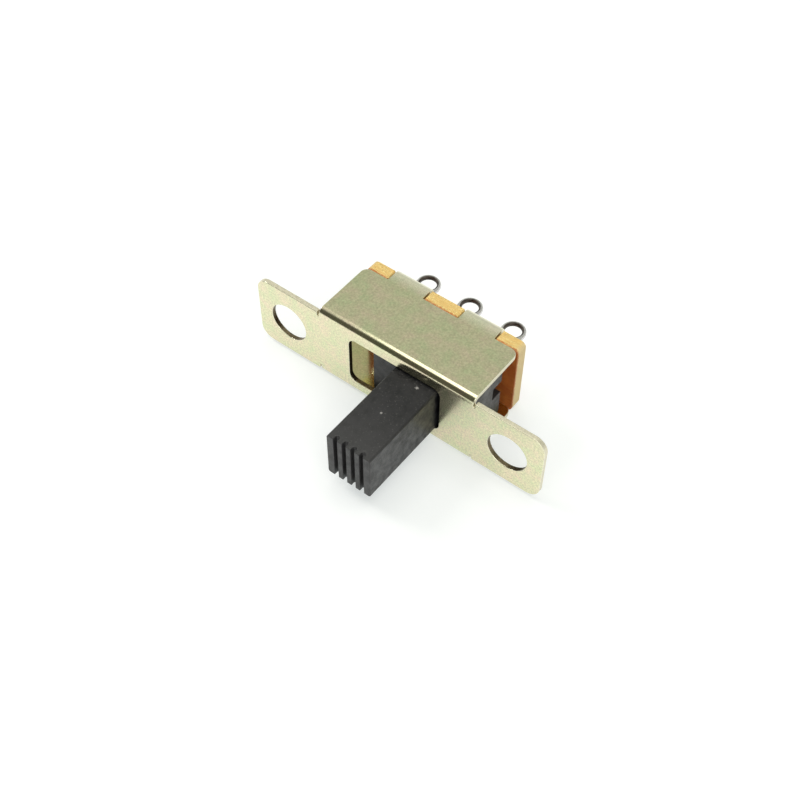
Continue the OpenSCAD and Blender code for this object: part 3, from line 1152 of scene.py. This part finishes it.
def make_floor():
    """Pale floor under the body's lower wall. A glow that lights nothing else keeps it white."""
    x, z = FLOOR_SIZE / 2, cad_low.z
    mesh = mesh_from("floor", [(-x, -x, z), (x, -x, z), (x, x, z), (-x, x, z)], faces=[(0, 1, 2, 3)])
    floor = new_object("floor", mesh)
    material, tree = new_finish("floor", Base_Color=FLOOR_COLOUR, Roughness=1.0, Specular_IOR_Level=0.0,
                                Emission_Color=GLOW_COLOUR)
    path = add_node(tree, "ShaderNodeLightPath")
    seen = combine(tree, "MAXIMUM", path["Is Camera Ray"], path["Is Glossy Ray"])
    seen = combine(tree, "MAXIMUM", seen, path["Is Transmission Ray"])
    outward = add_node(tree, "ShaderNodeVectorMath", {0: place_on_piece(tree)}, operation="LENGTH")["Value"]
    glow = spread(tree, outward, GLOW_START, GLOW_END, GLOW_NEAR, GLOW_FAR)
    strength = tree.nodes["Principled BSDF"].inputs["Emission Strength"]
    tree.links.new(combine(tree, "MULTIPLY", seen, glow), strength)
    mesh.materials.append(material)


# Colours of the room by the Y of the direction, from the front to the back, and towards +X
ROOM = ((-0.52, rgb(0.095, 0.095, 0.075)), (-0.40, rgb(0.15, 0.15, 0.13)), (-0.20, rgb(0.44, 0.44, 0.41)),
        (0.05, rgb(0.62, 0.62, 0.57)), (0.36, rgb(0.70, 0.70, 0.64)), (0.50, rgb(0.54, 0.56, 0.49)),
        (1.00, rgb(0.50, 0.52, 0.46)))
ROOM_RIGHT = rgb(0.52, 0.52, 0.48)


def make_world():
    """Room that is dim at the front left and brighter overhead, with a pale horizon."""
    world = bpy.data.worlds.new("room")
    bpy.context.scene.world = world
    world.use_nodes = True
    tree = world.node_tree
    toward = along_axes(tree, add_node(tree, "ShaderNodeTexCoord")["Generated"])
    ramp = tree.nodes.new("ShaderNodeValToRGB")
    tree.links.new(spread(tree, toward["Y"], -1.0, 1.0), ramp.inputs["Fac"])
    stops = ramp.color_ramp.elements
    for stop in range(len(ROOM) - 2):
        stops.new(0.5)
    for stop, (y, colour) in zip(stops, ROOM):
        stop.position = (y + 1) / 2
        stop.color = colour
    right = spread(tree, toward["X"], -0.25, 0.08)
    colour = blend(tree, right, ramp.outputs["Color"], ROOM_RIGHT, "LIGHTEN")
    rise = spread(tree, toward["Y"], 0.0, 0.8, 0.12, 0.45)
    colour = blend(tree, spread(tree, toward["Z"], 0.03, rise, 1.0, 0.0), colour, WHITE)
    background = tree.nodes["Background"]
    tree.links.new(colour, background.inputs["Color"])
    background.inputs["Strength"].default_value = 1.0


# Name, place, aim, width, height and watts of each softbox, in metres
LAMPS = (("overhead", (0.006, 0.022, 0.3), (0.006, 0.022, 0.0), 0.287, 0.225, 0.28),
         ("right", (0.24, -0.17, 0.24), (0.0, 0.0, 0.0), 0.2, 0.2, 0.32),
         ("left", (-0.26, -0.03, 0.24), (0.0, 0.0, 0.0), 0.12, 0.12, 0.36))
LAMP_COLOUR = (1.0, 0.98, 0.95)


def make_lamps():
    """Wide softbox overhead, with a smaller one on each side of the panel face."""
    for name, place, aim, width, height, power in LAMPS:
        light = bpy.data.lights.new(name, "AREA")
        light.shape = "RECTANGLE"
        light.size = width
        light.size_y = height
        light.energy = power
        light.color = LAMP_COLOUR
        lamp = new_object(name, light)
        lamp.location = place
        lamp.rotation_euler = (Vector(aim) - Vector(place)).to_track_quat("-Z", "Y").to_euler()


# ---- the whole switch

make_camera()
make_floor()
make_world()
make_lamps()
build_frame(make_plating("plating", WHITE),
            make_sheared_plating("sheared_plating", SHEARED_DARK, SHEARED_LIGHT),
            # near-black walls of the window and holes: painted shade
            make_sheared_plating("punched_plating", OPENING_SHADE_DARK, OPENING_SHADE_LIGHT),
            make_plating("inner_plating", INNER_SHADE_TONE))
plate_tree = punched_plate_tree()
build_board(plate_tree, make_laminate(), make_laminate_edge())
build_terminals(plate_tree, make_tin(), make_dark_hole_tin())
build_slider(grip_grooves_tree(), make_black_plastic())
build_clip(contact_clip_tree(), make_bronze())
bpy.context.scene.view_settings.view_transform = "Standard"
